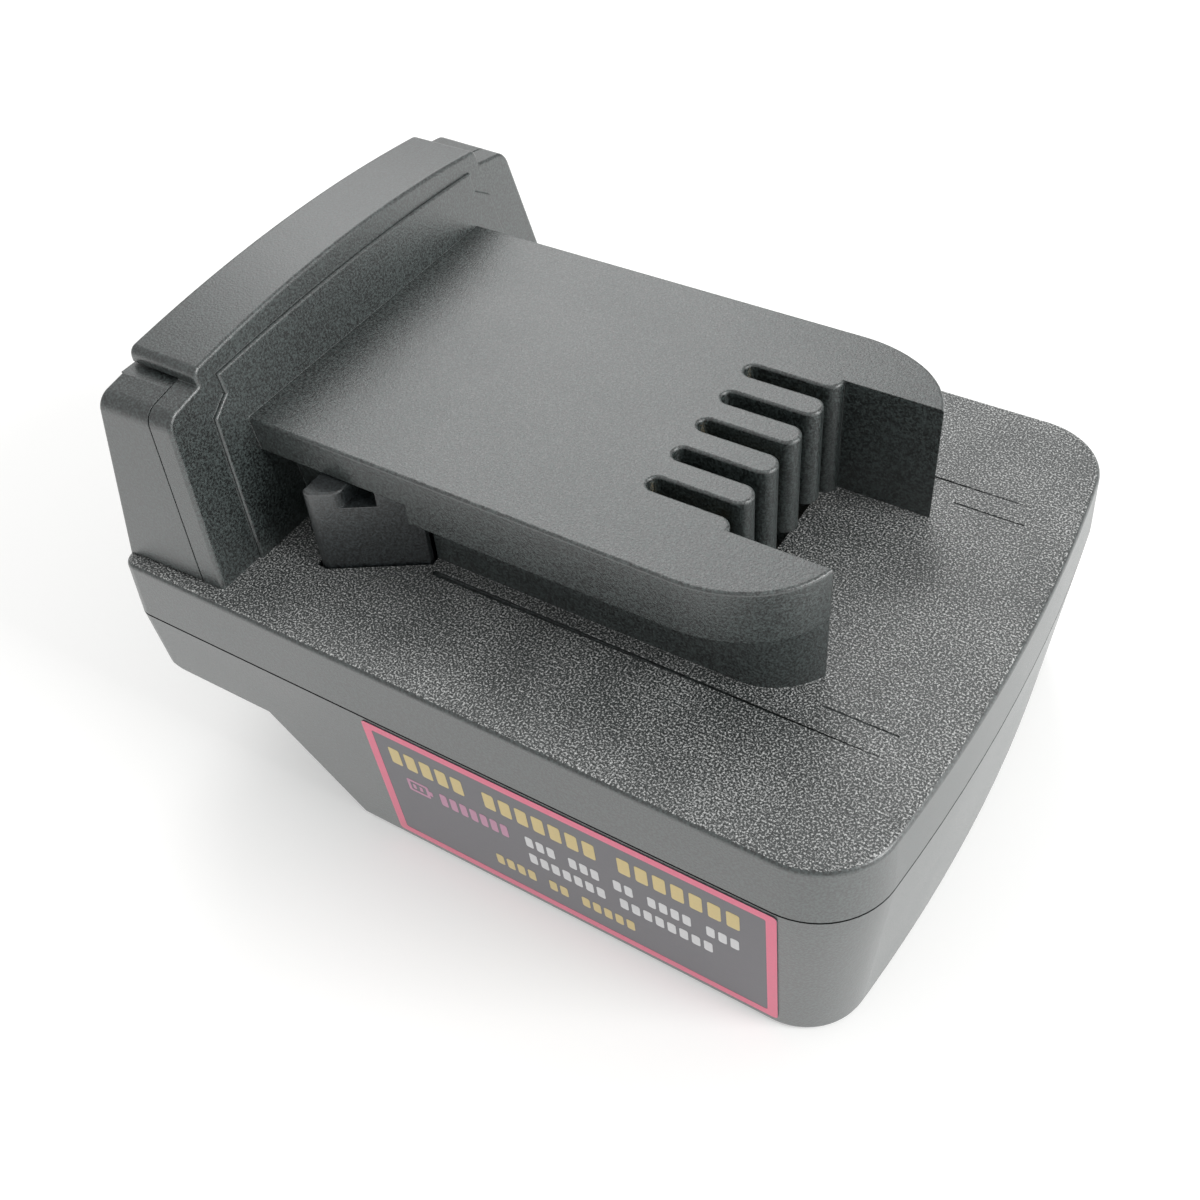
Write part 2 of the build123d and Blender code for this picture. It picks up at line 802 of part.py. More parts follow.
# Right latch slider: a flat plate under the deck, its claw, spring wall and post socket
with BuildPart() as latch_slider_right:
    tail_x = (rear_x + wall + 2 * sliding_gap, post_x + slider_tail_length / 2)
    block(tail_x, band(-1, slider_inner, slider_tail_outer), (slider_z, slider_top_z))
    block((tail_x[1] - overrun, claw_front_x), band(-1, slider_inner, slider_outer), (slider_z, slider_top_z))
    extrude(claw_plan(-1, claw_root, 0), amount=claw_top_z - slider_z)
    notch_x = claw_x + tooth_length
    notch_z = (claw_top_z - notch_depth, claw_top_z + overrun)
    block((notch_x, notch_x + notch_length), band(-1, 0, body_width), notch_z, Mode.SUBTRACT)
    upright = latch_slider_right.edges().filter_by(Axis.Z)
    tooth_front = [e for e in upright if abs(e.center().X - notch_x) < slip]
    fillet(min(tooth_front, key=lambda e: e.center().Y), tooth_r)
    claw_tops = latch_slider_right.faces().group_by(Axis.Z)[-1]
    fillet(claw_tops.edges(), claw_top_r)
    wall_x = (spring_x - anchor_length / 2, spring_x + anchor_length / 2)
    wall_y = band(-1, slider_inner, slider_inner + spring_wall)
    block(wall_x, wall_y, (slider_top_z - spring_wall_height, slider_top_z))
    with Locations(Location((spring_x, -slider_inner, spring_z), (-90, 0, 0))):
        Cylinder(spring_peg_r, spring_peg_length, align=(Align.CENTER, Align.CENTER, Align.MIN))
    block(
        (post_x - button_post / 2, post_x + button_post / 2),
        band(-1, post_y - button_post / 2, post_y + button_post / 2),
        (slider_z + overrun, slider_top_z + overrun),
        Mode.SUBTRACT,
    )
latch_slider_right.part.label = "latch_slider_right"

# Right latch spring, on the pegs of the slider and of the fixed post
spring_gap = spring_wire / 2 + thread_gap
spring_length = slider_inner - anchor_width / 2 - 2 * spring_gap
spring_coil_r = spring_r - spring_wire / 2
with BuildPart() as latch_spring_right:
    with BuildLine():
        coil = Helix(
            pitch=spring_length / spring_turns,
            height=spring_length,
            radius=spring_coil_r,
            center=(spring_x, -anchor_width / 2 - spring_gap, spring_z),
            direction=(0, -1, 0),
        )
    with BuildSketch(Plane(coil @ 0, z_dir=coil % 0)):
        Circle(spring_wire / 2)
    sweep(path=coil, is_frenet=True)
latch_spring_right.part.label = "latch_spring_right"

# Left-hand button, slider and spring: the right-hand ones mirrored
with BuildPart() as release_button_left:
    mirror(release_button_right.part, about=Plane.XZ)
release_button_left.part.label = "release_button_left"
with BuildPart() as latch_slider_left:
    mirror(latch_slider_right.part, about=Plane.XZ)
latch_slider_left.part.label = "latch_slider_left"
with BuildPart() as latch_spring_left:
    mirror(latch_spring_right.part, about=Plane.XZ)
latch_spring_left.part.label = "latch_spring_left"


def make_contact(y, tab_width):
    """Fork contact in the slot at y: two leaves that pinch and flare, and a tab below the deck."""
    half = contact_width / 2
    pinch_x = contact_straight + contact_pinch
    end_x = pinch_x + contact_flare
    leaf = contact_thickness / 2
    with BuildPart() as contact:
        with BuildSketch(Plane((contact_base_x, y, contact_low_z))):
            with BuildLine():
                Polyline(
                    (0, 0),
                    (0, half),
                    (contact_straight, half),
                    (pinch_x, pinch_half + leaf),
                    (end_x, flare_half + leaf),
                    (end_x, flare_half - leaf),
                    (pinch_x, pinch_half - leaf),
                    (contact_straight, half - contact_thickness),
                    (contact_thickness, half - contact_thickness),
                    (contact_thickness, 0),
                    close=True,
                )
            make_face()
            mirror(about=Plane.XZ)
        extrude(amount=contact_height)
        strip = (contact_base_x, contact_front_x)
        block(strip, (y - half, y + half), (tail_z, contact_low_z + contact_height))
        block(strip, (y - tab_width / 2, y + tab_width / 2), (tail_z, tail_z + tail_height))
    return contact.part


def make_blade(y):
    """Flat blade standing in the receptacle, its tail running up through the ceiling."""
    tip_x = block_x - blade_reach
    tail_end_x = blade_tail_x + blade_tail_length
    tail_top_z = floor_z + blade_tail_rise
    high = ceiling_z - blade_drop
    with BuildPart() as blade:
        with BuildSketch(Plane.XZ.offset(-y)) as profile:
            with BuildLine():
                Polyline(
                    (tip_x, high - blade_height),
                    (tail_end_x, high - blade_height),
                    (tail_end_x, tail_top_z),
                    (blade_tail_x, tail_top_z),
                    (blade_tail_x, high),
                    (tip_x, high),
                    close=True,
                )
            make_face()
            chamfer(profile.vertices().sort_by(Axis.X)[:2], blade_lead_in)
        extrude(amount=blade_thickness / 2, both=True)
    return blade.part


def make_lead(points, bend_r, radius):
    """Round lead along straight runs, joined by tangent arcs where it bends."""
    with BuildPart() as lead:
        with BuildLine():
            route = FilletPolyline(*points, radius=bend_r) if len(points) > 2 else Line(*points)
        with BuildSketch(Plane(route @ 0, z_dir=route % 0)):
            Circle(radius)
        sweep(path=route)
    return lead.part


def make_power_lead(side):
    """Lead from a power contact's tab forward and down to a blade's tail."""
    y = side * slot_ys()[-1]
    points = [
        (contact_front_x, y, lead_z),
        (contact_front_x + lead_out, y, lead_z),
        (blade_tail_x - lead_in, side * blade_pitch, tail_lead_z),
        (blade_tail_x, side * blade_pitch, tail_lead_z),
    ]
    return make_lead(points, power_bend_r, power_lead_r)


def make_screws(places, seat, up, radius, length, head_r, head):
    """Cross-head screws seated at one height, their shanks running up (1) or down (-1)."""
    with BuildPart() as screws:
        for x, y in places:
            post(x, y, ordered(seat, seat + up * length), radius)
            post(x, y, ordered(seat, seat - up * head), head_r)
        levels = screws.edges().group_by(Axis.Z)[::up]
        chamfer(levels[-1], screw_tip)
        levels = screws.edges().group_by(Axis.Z)[::up]
        fillet(levels[0], head_edge_r)
        drive_z = ordered(seat - up * (head - drive_depth), seat - up * (head + overrun))
        arm = head_r * drive_reach_share
        for x, y in places:
            long_x, wide_x = (x - arm, x + arm), (x - drive_width / 2, x + drive_width / 2)
            long_y, wide_y = (y - arm, y + arm), (y - drive_width / 2, y + drive_width / 2)
            block(long_x, wide_y, drive_z, Mode.SUBTRACT)
            block(wide_x, long_y, drive_z, Mode.SUBTRACT)
    return screws.part


# Contact carrier: holds the tool-side contacts inside the rail, screwed up against the deck
with BuildPart() as contact_carrier:
    back_x = panel_x + carrier_start
    nose_x = panel_x + finger_root - carrier_slack
    across = (-carrier_half, carrier_half)
    block((back_x, contact_base_x), across, (ear_z, carrier_top_z))
    block((contact_base_x - overrun, nose_x), across, (deck_z, carrier_top_z))
    ears_x = (panel_x + ear_screw_x - ear_length / 2, contact_base_x)
    block(ears_x, (-ear_reach, ear_reach), (ear_z, ear_z + ear_thickness))
    inside_y = (web_wall - carrier_half, carrier_half - web_wall)
    inside_z = (ear_z + ear_thickness, carrier_top_z - web_wall)
    block((back_x - overrun, contact_base_x - web_wall), inside_y, inside_z, Mode.SUBTRACT)
    for x, y in ear_places:
        post(x, y, (ear_z - overrun, ear_z + ear_thickness + overrun), small_screw_r + slip, Mode.SUBTRACT)
    for y in (slot_ys()[0], 0, slot_ys()[-1]):
        slot_y = (y - contact_width / 2 - thread_gap, y + contact_width / 2 + thread_gap)
        slot_z = (deck_z - overrun, contact_low_z + contact_height + thread_gap)
        block((contact_base_x, nose_x + overrun), slot_y, slot_z, Mode.SUBTRACT)
contact_carrier.part.label = "contact_carrier"

# Tool-side contacts, in the outer slots and the middle one
with BuildPart() as tool_contact_positive:
    add(make_contact(slot_ys()[-1], tail_width))
tool_contact_positive.part.label = "tool_contact_positive"
with BuildPart() as tool_contact_negative:
    add(make_contact(slot_ys()[0], tail_width))
tool_contact_negative.part.label = "tool_contact_negative"
with BuildPart() as tool_contact_signal:
    add(make_contact(0, signal_tail_width))
tool_contact_signal.part.label = "tool_contact_signal"

# Terminal block under the receptacle's ceiling, slotted for the blades
with BuildPart() as terminal_block:
    block_y = (-block_width / 2, block_width / 2)
    block((block_x, channel_end_x), block_y, (ceiling_z - block_height, ceiling_z))
    rear_face = terminal_block.faces().sort_by(Axis.X)[0]
    fillet(rear_face.edges().sort_by(Axis.Z)[:-1], block_edge_r)
    for y in (-blade_pitch, 0, blade_pitch):
        slot_y = (y - blade_thickness / 2 - thread_gap, y + blade_thickness / 2 + thread_gap)
        blade_z = (ceiling_z - blade_drop - blade_height, ceiling_z - blade_drop)
        tail_span = (blade_tail_x, blade_tail_x + blade_tail_length)
        block((block_x - overrun, tail_span[1]), slot_y, blade_z, Mode.SUBTRACT)
        block(tail_span, slot_y, (blade_z[0], ceiling_z + overrun), Mode.SUBTRACT)
    for x, y in block_screw_places:
        hole_z = (floor_z - small_screw_length - skin_gap, ceiling_z + overrun)
        post(x, y, hole_z, small_screw_r + thread_gap, Mode.SUBTRACT)
terminal_block.part.label = "terminal_block"

# Battery-side blades in the terminal block
with BuildPart() as battery_blade_positive:
    add(make_blade(blade_pitch))
battery_blade_positive.part.label = "battery_blade_positive"
with BuildPart() as battery_blade_negative:
    add(make_blade(-blade_pitch))
battery_blade_negative.part.label = "battery_blade_negative"
with BuildPart() as battery_blade_signal:
    add(make_blade(0))
battery_blade_signal.part.label = "battery_blade_signal"

# Power leads, one each side
with BuildPart() as positive_lead:
    add(make_power_lead(1))
positive_lead.part.label = "positive_lead"
with BuildPart() as negative_lead:
    add(make_power_lead(-1))
negative_lead.part.label = "negative_lead"

# Signal lead in two stretches, with the identifying resistor between them
with BuildPart() as signal_lead:
    signal_points = [
        (contact_front_x, 0, lead_z),
        (contact_front_x + signal_out, 0, lead_z),
        (resistor_x - signal_in, 0, resistor_z),
        (resistor_x, 0, resistor_z),
    ]
    add(make_lead(signal_points, signal_bend_r, signal_lead_r))
    last_points = [(resistor_x + resistor_length, 0, resistor_z), (blade_tail_x, 0, resistor_z)]
    add(make_lead(last_points, signal_bend_r, signal_lead_r))
signal_lead.part.label = "signal_lead"
with BuildPart() as id_resistor:
    with BuildSketch(Plane.YZ.offset(resistor_x)):
        with Locations((0, resistor_z)):
            Circle(resistor_r)
    extrude(amount=resistor_length)
    fillet(id_resistor.edges().filter_by(GeomType.CIRCLE), resistor_edge_r)
id_resistor.part.label = "id_resistor"

# Screws: four through the housing, two in the carrier's ears, two in the terminal block
with BuildPart() as housing_screws:
    housing_sizes = (housing_screw_r, housing_screw_length, housing_screw_head_r, housing_screw_head)
    add(make_screws(screw_places, seat_z, 1, *housing_sizes))
housing_screws.part.label = "housing_screws"
small_sizes = (small_screw_r, small_screw_length, small_screw_head_r, small_screw_head)
with BuildPart() as carrier_screws:
    add(make_screws(ear_places, ear_z, 1, *small_sizes))
carrier_screws.part.label = "carrier_screws"
with BuildPart() as terminal_block_screws:
    add(make_screws(block_screw_places, floor_z, -1, *small_sizes))
terminal_block_screws.part.label = "terminal_block_screws"

# Label on the right wall, flat against its slope and just below the parting line
with BuildPart() as side_label:
    wall_plane = Plane(
        origin=(panel_x + label_start, -body_width / 2, parting_z),
        x_dir=(1, 0, 0),
        z_dir=(0, -parting_z, -base_inset),
    )
    with BuildSketch(wall_plane):
        with Locations((label_length / 2, -label_drop - label_height / 2)):
            RectangleRounded(label_length, label_height, label_r)
    extrude(amount=label_thickness)
side_label.part.label = "side_label"

pieces = [
    upper_shell,
    lower_shell,
    release_button_right,
    release_button_left,
    latch_slider_right,
    latch_slider_left,
    latch_spring_right,
    latch_spring_left,
    contact_carrier,
    tool_contact_positive,
    tool_contact_negative,
    tool_contact_signal,
    terminal_block,
    battery_blade_positive,
    battery_blade_negative,
    battery_blade_signal,
    positive_lead,
    negative_lead,
    signal_lead,
    id_resistor,
    housing_screws,
    carrier_screws,
    terminal_block_screws,
    side_label,
]
os.makedirs("parts", exist_ok=True)
for piece in pieces:
    export_step(piece.part, f"parts/{piece.part.label}.step")
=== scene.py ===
"""Finishes the tool battery adapter: shells, sprung latches, contacts, printed label and stage."""
import math

import bpy
import numpy as np
from mathutils import Matrix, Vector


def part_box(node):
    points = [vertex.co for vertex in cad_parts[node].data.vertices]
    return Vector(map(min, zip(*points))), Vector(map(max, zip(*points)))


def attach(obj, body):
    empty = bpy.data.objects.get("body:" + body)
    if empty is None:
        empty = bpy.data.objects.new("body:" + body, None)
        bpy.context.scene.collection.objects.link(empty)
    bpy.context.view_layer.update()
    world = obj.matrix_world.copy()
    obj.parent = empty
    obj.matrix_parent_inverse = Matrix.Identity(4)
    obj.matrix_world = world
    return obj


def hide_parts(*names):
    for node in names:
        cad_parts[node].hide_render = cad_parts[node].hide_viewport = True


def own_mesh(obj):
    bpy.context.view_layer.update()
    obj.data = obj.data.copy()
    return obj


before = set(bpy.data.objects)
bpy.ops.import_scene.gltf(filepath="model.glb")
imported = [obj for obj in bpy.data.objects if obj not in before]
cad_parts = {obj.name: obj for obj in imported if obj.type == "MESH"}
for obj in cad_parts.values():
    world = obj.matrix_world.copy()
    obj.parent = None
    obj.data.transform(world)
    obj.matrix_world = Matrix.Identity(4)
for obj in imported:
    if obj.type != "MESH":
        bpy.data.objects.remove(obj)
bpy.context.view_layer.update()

bl_info = {
    "name": "Battery Adapter Finish",
    "version": (1, 0, 0),
    "blender": (4, 5, 0),
    "location": "View3D > Sidebar > Adapter",
    "description": "Finishes the moulded shells, latches, contacts and label of a battery adapter",
    "category": "Object",
}

MM = 0.001
SIDES = ("right", "left")
SKIRT_HEIGHT = 8.6 * MM
RAIL_HEIGHT = 16.7 * MM
HUMP_REACH = 13.8 * MM
LABEL_THICKNESS = 0.15 * MM

# Noise: its middle value, the detail of a patchy one, and how rough the grains are
MIDDLE = 0.5
PATCHY_DETAIL = 3.0
GRAIN_ROUGHNESS = 0.6
DECK_GRAIN_ROUGHNESS = 0.7
EDGE_SAMPLES = 6

# Grain on the walls. Tones are shares of the plastic's own colour
SPECKLE_CONTRAST = 4.0
BROAD_PATCH = 14 * MM
BROAD_CONTRAST = 0.4
BROAD_START = 0.2
DARK_TONE = 0.2
LIGHT_TONE = 2.2
SPECKLE_SHEEN = 0.30
BROAD_SHEEN = 0.08
# Painted shade: the near-black of the parting line where the shells meet
PAINTED_GAP_SHADE = (0.004, 0.004, 0.004)

# Painted highlights: glinting grains painted as light specks into the colour of the deck's flat,
# fainter on the rail's top, with the deck's ground painted darker between them
DECK_FLAT = (-0.1 * MM, 0.05 * MM)
RAIL_FLAT = (-0.15 * MM, 0.05 * MM)
GLINT_START = 0.495
GLINT_CONTRAST = 5.5
GLINT_PATCH = 9 * MM
GLINT_DRIFT = 0.08
GROUND_SHARE = 0.5
GROUND_TONE = 0.3
RAIL_DEPTH_SHARE = 0.25
RAIL_GLINT_LIFT = 0.1
RAIL_GLINT_SHARE = 0.10

# Metal: streaks along the strip and worn patches
METAL_ROUGHNESS = {
    "contact_brass": 0.30,
    "blade_brass": 0.34,
    "spring_steel": 0.28,
    "screw_zinc": 0.38,
}
STREAK_STRETCH = (0.12, 1.0, 1.0)
STREAK_WIDTH = 0.12 * MM
STREAK_DEPTH = 0.004 * MM
STREAK_SHEEN = 0.25
WORN_PATCH = 1.8 * MM
WORN_TONE = 0.82

# Insulation and the resistor's coat: grain, depth, roughness and how far the grain changes it
SKIN_TONE = 0.85
INSULATION_SKIN = (0.5 * MM, 0.01 * MM, 0.42, 0.2)
COAT_SKIN = (0.4 * MM, 0.006 * MM, 0.3, 0.1)
BAND_COUNT = 4.0

# Print: an uneven ink on a film with slow waves
FILM_ROUGHNESS = 0.42
INK_ROUGHNESS = 0.38
INK_GRAIN = 0.35 * MM
INK_TONES = (0.88, 1.06)
INK_SHEEN = 0.12
INK_HEIGHT_SHARE = 0.3
FILM_WAVE = 6 * MM
FILM_DEPTH = 0.02 * MM

# Rows of blank blocks on the label: ink, middle of the row, height of a block, start of the row,
# pitch of the cells and cells in each group
ROWS = (
    ("yellow", 19.1 * MM, 3.3 * MM, 3.2 * MM, 2.31 * MM, (5, 7, 7)),
    ("pale_pink", 13.7 * MM, 2.6 * MM, 9.6 * MM, 1.50 * MM, (7,)),
    ("white", 13.8 * MM, 2.2 * MM, 22.2 * MM, 1.53 * MM, (3, 3, 2, 4, 3)),
    ("white", 10.0 * MM, 2.2 * MM, 22.2 * MM, 1.60 * MM, (7, 8)),
    ("yellow", 5.35 * MM, 2.2 * MM, 16.5 * MM, 1.58 * MM, (4, 2, 5)),
)
CELL_SHARE = 0.70
CELL_CORNER = 0.3 * MM
CORNER_STEPS = 5
# Battery symbol at the start of the second row: its case, then the terminal and two level bars
SYMBOL_CASE = (4.6 * MM, 12.4 * MM, 7.9 * MM, 15.0 * MM)
SYMBOL_BARS = (
    (7.9 * MM, 13.2 * MM, 8.4 * MM, 14.2 * MM),
    (5.4 * MM, 13.2 * MM, 5.9 * MM, 14.2 * MM),
    (6.4 * MM, 13.2 * MM, 6.9 * MM, 14.2 * MM),
)

# Lamps: name, place in metres, side of the square and power in watts
LAMPS = (
    ("overhead", (-0.44, 0.56, 0.62), 0.55, 2.4),
    ("front", (0.75, 0.10, 0.45), 0.40, 5.0),
)
LAMP_AIM = (0.0, 0.0, 0.03)
WHITE = (1.0, 1.0, 1.0, 1.0)
PAPER = (0.80, 0.80, 0.79, 1.0)
PAPER_SEEN = 0.30
PAPER_MIRRORED = 0.85
SENSOR_WIDTH = 36.0

# Sockets of a Mix node for colours, and of a Mix Shader node
MIX_FACTOR, MIX_FIRST, MIX_SECOND, MIX_OUT = 0, 6, 7, 2
SHADER_FACTOR, SHADER_FIRST, SHADER_SECOND = 0, 1, 2


def length(name, description, default):
    """A size in metres that a user can change."""
    return bpy.props.FloatProperty(
        name=name, description=description, default=default, min=0.0, precision=6,
        subtype="DISTANCE", unit="LENGTH",
    )


def share(name, description, default):
    """A number from 0 to 1 that a user can change."""
    return bpy.props.FloatProperty(
        name=name, description=description, default=default, min=0.0, max=1.0, subtype="FACTOR"
    )


def amount(name, description, default):
    """A plain number that a user can change."""
    return bpy.props.FloatProperty(name=name, description=description, default=default)


def angle(name, description, degrees):
    """An angle that a user can change."""
    return bpy.props.FloatProperty(
        name=name, description=description, default=math.radians(degrees), subtype="ANGLE"
    )


def colour(name, description, default):
    """A linear colour that a user can change."""
    return bpy.props.FloatVectorProperty(
        name=name, description=description, default=default, size=3, min=0.0, max=1.0,
        subtype="COLOR",
    )


class HousingFinish(bpy.types.PropertyGroup):
    """Moulded plastic of the shells, buttons and latches."""

    plastic: colour("Plastic", "Colour of the moulded plastic", (0.022, 0.029, 0.028))
    claw_plastic: colour("Claw plastic", "Colour of the latch sliders", (0.014, 0.018, 0.019))
    grain: length("Grain", "Width of a grain on the walls", 0.28 * MM)
    deck_grain: length("Deck grain", "Width of a grain on the deck", 0.25 * MM)
    # Painted highlight: the light colour painted into the deck's grains as glinting specks
    painted_glint: colour("Glint", "Colour of the grains that catch the light", (0.64, 0.65, 0.64))
    grain_depth: length("Grain depth", "Depth of the grain on the walls", 0.035 * MM)
    deck_depth: length("Deck grain depth", "Depth of the grain on the deck", 0.11 * MM)
    sheen: share("Roughness", "Roughness of the plastic between its grains", 0.38)
    index: amount("Index", "Refractive index of the plastic", 1.85)
    edge: length("Edge", "Width of the rounding on moulded edges", 0.14 * MM)
    # Width of the painted shade along the parting line of the shells
    seam: length("Seam", "Half the width of the dark line where the shells meet", 0.15 * MM)


class MetalFinish(bpy.types.PropertyGroup):
    """Contacts, blades, screws, springs and the parts they sit in."""

    brass: colour("Brass", "Colour of the tool contacts", (0.72, 0.55, 0.28))
    tinned: colour("Tinned brass", "Colour of the battery blades", (0.70, 0.64, 0.46))
    steel: colour("Steel", "Colour of the springs", (0.58, 0.59, 0.61))
    zinc: colour("Zinc", "Colour of the screws", (0.30, 0.30, 0.32))
    carrier: colour("Carrier", "Colour of the contact carrier", (0.026, 0.026, 0.029))
    block: colour("Block", "Colour of the terminal block", (0.036, 0.036, 0.040))


class WiringFinish(bpy.types.PropertyGroup):
    """Leads and resistor."""

    red: colour("Red", "Colour of the positive lead", (0.42, 0.018, 0.016))
    black: colour("Black", "Colour of the negative lead", (0.016, 0.016, 0.017))
    yellow: colour("Yellow", "Colour of the signal lead", (0.66, 0.46, 0.05))
    coat: colour("Coat", "Colour of the resistor's coat", (0.50, 0.37, 0.21))
    band: colour("Band", "Colour of the resistor's bands", (0.16, 0.045, 0.015))
    band_pitch: length("Band pitch", "Distance between the resistor's bands", 1.4 * MM)
    band_width: length("Band width", "Width of one band", 0.6 * MM)


class LabelFinish(bpy.types.PropertyGroup):
    """Printed film on the right wall."""

    film: colour("Film", "Ground colour of the film", (0.085, 0.082, 0.094))
    pink: colour("Pink", "Colour of the frame", (0.76, 0.12, 0.22))
    pale_pink: colour("Pale pink", "Colour of the symbol and its row", (0.48, 0.20, 0.32))
    yellow: colour("Yellow", "Colour of the heading blocks", (0.62, 0.48, 0.18))
    white: colour("White", "Colour of the small blocks", (0.66, 0.66, 0.67))
    frame_width: length("Frame", "Width of the printed frame", 1.3 * MM)
    corner: length("Corner", "Radius of the film's corners", 0.6 * MM)
    stroke: length("Stroke", "Width of the symbol's line", 0.45 * MM)
    film_thickness: length("Film thickness", "Thickness of the film", 0.11 * MM)
    ink_thickness: length("Ink thickness", "Thickness of the print", 0.02 * MM)


class StageFinish(bpy.types.PropertyGroup):
    """Floor, world and camera."""

    floor_size: length("Floor", "Side of the square floor", 6.0)
    world_level: amount("World", "Strength of the surroundings", 0.70)
    camera_place: bpy.props.FloatVectorProperty(
        name="Camera", description="Where the camera stands", size=3,
        default=(73.74 * MM, -112.02 * MM, 155.17 * MM), subtype="TRANSLATION", unit="LENGTH",
    )
    azimuth: angle("Azimuth", "Camera's turn round the object", 35.54)
    elevation: angle("Elevation", "Camera's height angle", 45.69)
    roll: angle("Roll", "Camera's tilt to the side", 5.22)
    focal: amount("Focal length", "In millimetres, on a 36 mm sensor", 42.42)


class Signal:
    """A shader output that Python's operators work on: each adds one Math node."""

    def __init__(self, tree, socket):
        self.tree = tree
        self.socket = socket

    def math(self, operation, *operands):
        """Adds a Math node whose inputs are these values, in order."""
        node = self.tree.nodes.new("ShaderNodeMath")
        node.operation = operation
        for slot, operand in zip(node.inputs, operands):
            if isinstance(operand, Signal):
                self.tree.links.new(operand.socket, slot)
            else:
                slot.default_value = operand
        return Signal(self.tree, node.outputs[0])

    def __add__(self, other):
        return self.math("ADD", self, other)

    def __radd__(self, other):
        return self.math("ADD", other, self)

    def __sub__(self, other):
        return self.math("SUBTRACT", self, other)

    def __rsub__(self, other):
        return self.math("SUBTRACT", other, self)

    def __mul__(self, other):
        return self.math("MULTIPLY", self, other)

    def __rmul__(self, other):
        return self.math("MULTIPLY", other, self)

    def __truediv__(self, other):
        return self.math("DIVIDE", self, other)

    def __rtruediv__(self, other):
        return self.math("DIVIDE", other, self)

    def __gt__(self, other):
        return self.math("GREATER_THAN", self, other)

    def __lt__(self, other):
        return self.math("LESS_THAN", self, other)

    def between(self, low, high):
        """1 between two values and 0 outside them."""
        return (self > low) * (self < high)

    def clamped(self):
        """This value held between 0 and 1."""
        return self.math("MINIMUM", self.math("MAXIMUM", self, 0.0), 1.0)

    def fraction(self):
        """What is left of this value above its whole number."""
        return self.math("FRACT", self)


class Finish:
    """The nodes of one material or world."""

    def __init__(self, owner):
        self.owner = owner
        self.owner.use_nodes = True
        self.tree = owner.node_tree
        self.tree.nodes.clear()

    def node(self, kind, settings, inputs, output=0):
        """Adds a node, sets its options and then its sockets, and gives one output as a Signal."""
        made = self.tree.nodes.new(kind)
        for key, value in settings.items():
            setattr(made, key, value)
        for key, value in inputs.items():
            if isinstance(value, Signal):
                self.tree.links.new(value.socket, made.inputs[key])
            else:
                made.inputs[key].default_value = value
        return Signal(self.tree, made.outputs[output]) if made.outputs else None

    def place(self):
        """Object coordinates, in metres."""
        return self.node("ShaderNodeTexCoord", {}, {}, "Object")

    def noise(self, place, grain, detail=2.0, roughness=0.5):
        """Noise whose blotches are about one grain wide."""
        inputs = {"Vector": place, "Scale": 1.0 / grain, "Detail": detail, "Roughness": roughness}
        return self.node("ShaderNodeTexNoise", {}, inputs, "Fac")

    def axis(self, place, letter):
        """One coordinate of a place, in metres."""
        return self.node("ShaderNodeSeparateXYZ", {}, {"Vector": place}, letter)

    def mix(self, factor, first, second):
        """Mixes two colours."""
        settings = {"data_type": "RGBA", "blend_type": "MIX"}
        inputs = {MIX_FACTOR: factor, MIX_FIRST: first, MIX_SECOND: second}
        return self.node("ShaderNodeMix", settings, inputs, MIX_OUT)

    def bump(self, height, depth, normal=None):
        """Normal of a surface with this height, where 1 is one depth."""
        inputs = {"Strength": 1.0, "Distance": depth, "Height": height}
        if normal:
            inputs["Normal"] = normal
        return self.node("ShaderNodeBump", {}, inputs)

    def eased(self, radius):
        """Normal that rounds the sharp edges of a moulding."""
        return self.node("ShaderNodeBevel", {"samples": EDGE_SAMPLES}, {"Radius": radius})

    def surface(self, painted_gap_shade=None, **inputs):
        """Principled shader and the material's output, with painted shade: near-black where its
        mask is set.
        """
        named = {key.replace("_", " ").title(): value for key, value in inputs.items()}
        named = {key.replace("Ior", "IOR"): value for key, value in named.items()}
        shader = self.node("ShaderNodeBsdfPrincipled", {}, named)
        if painted_gap_shade:
            dark = self.node("ShaderNodeBsdfDiffuse", {}, {"Color": tone(PAINTED_GAP_SHADE)})
            both = {SHADER_FACTOR: painted_gap_shade, SHADER_FIRST: shader, SHADER_SECOND: dark}
            shader = self.node("ShaderNodeMixShader", {}, both)
        self.node("ShaderNodeOutputMaterial", {}, {"Surface": shader})
        return self.owner


def new_finish(name):
    """The nodes of a new material."""
    return Finish(bpy.data.materials.new(name))


def tone(shade, level=1.0):
    """A colour with full alpha, darker or lighter than the given one."""
    return (*(min(1.0, part * level) for part in shade), 1.0)


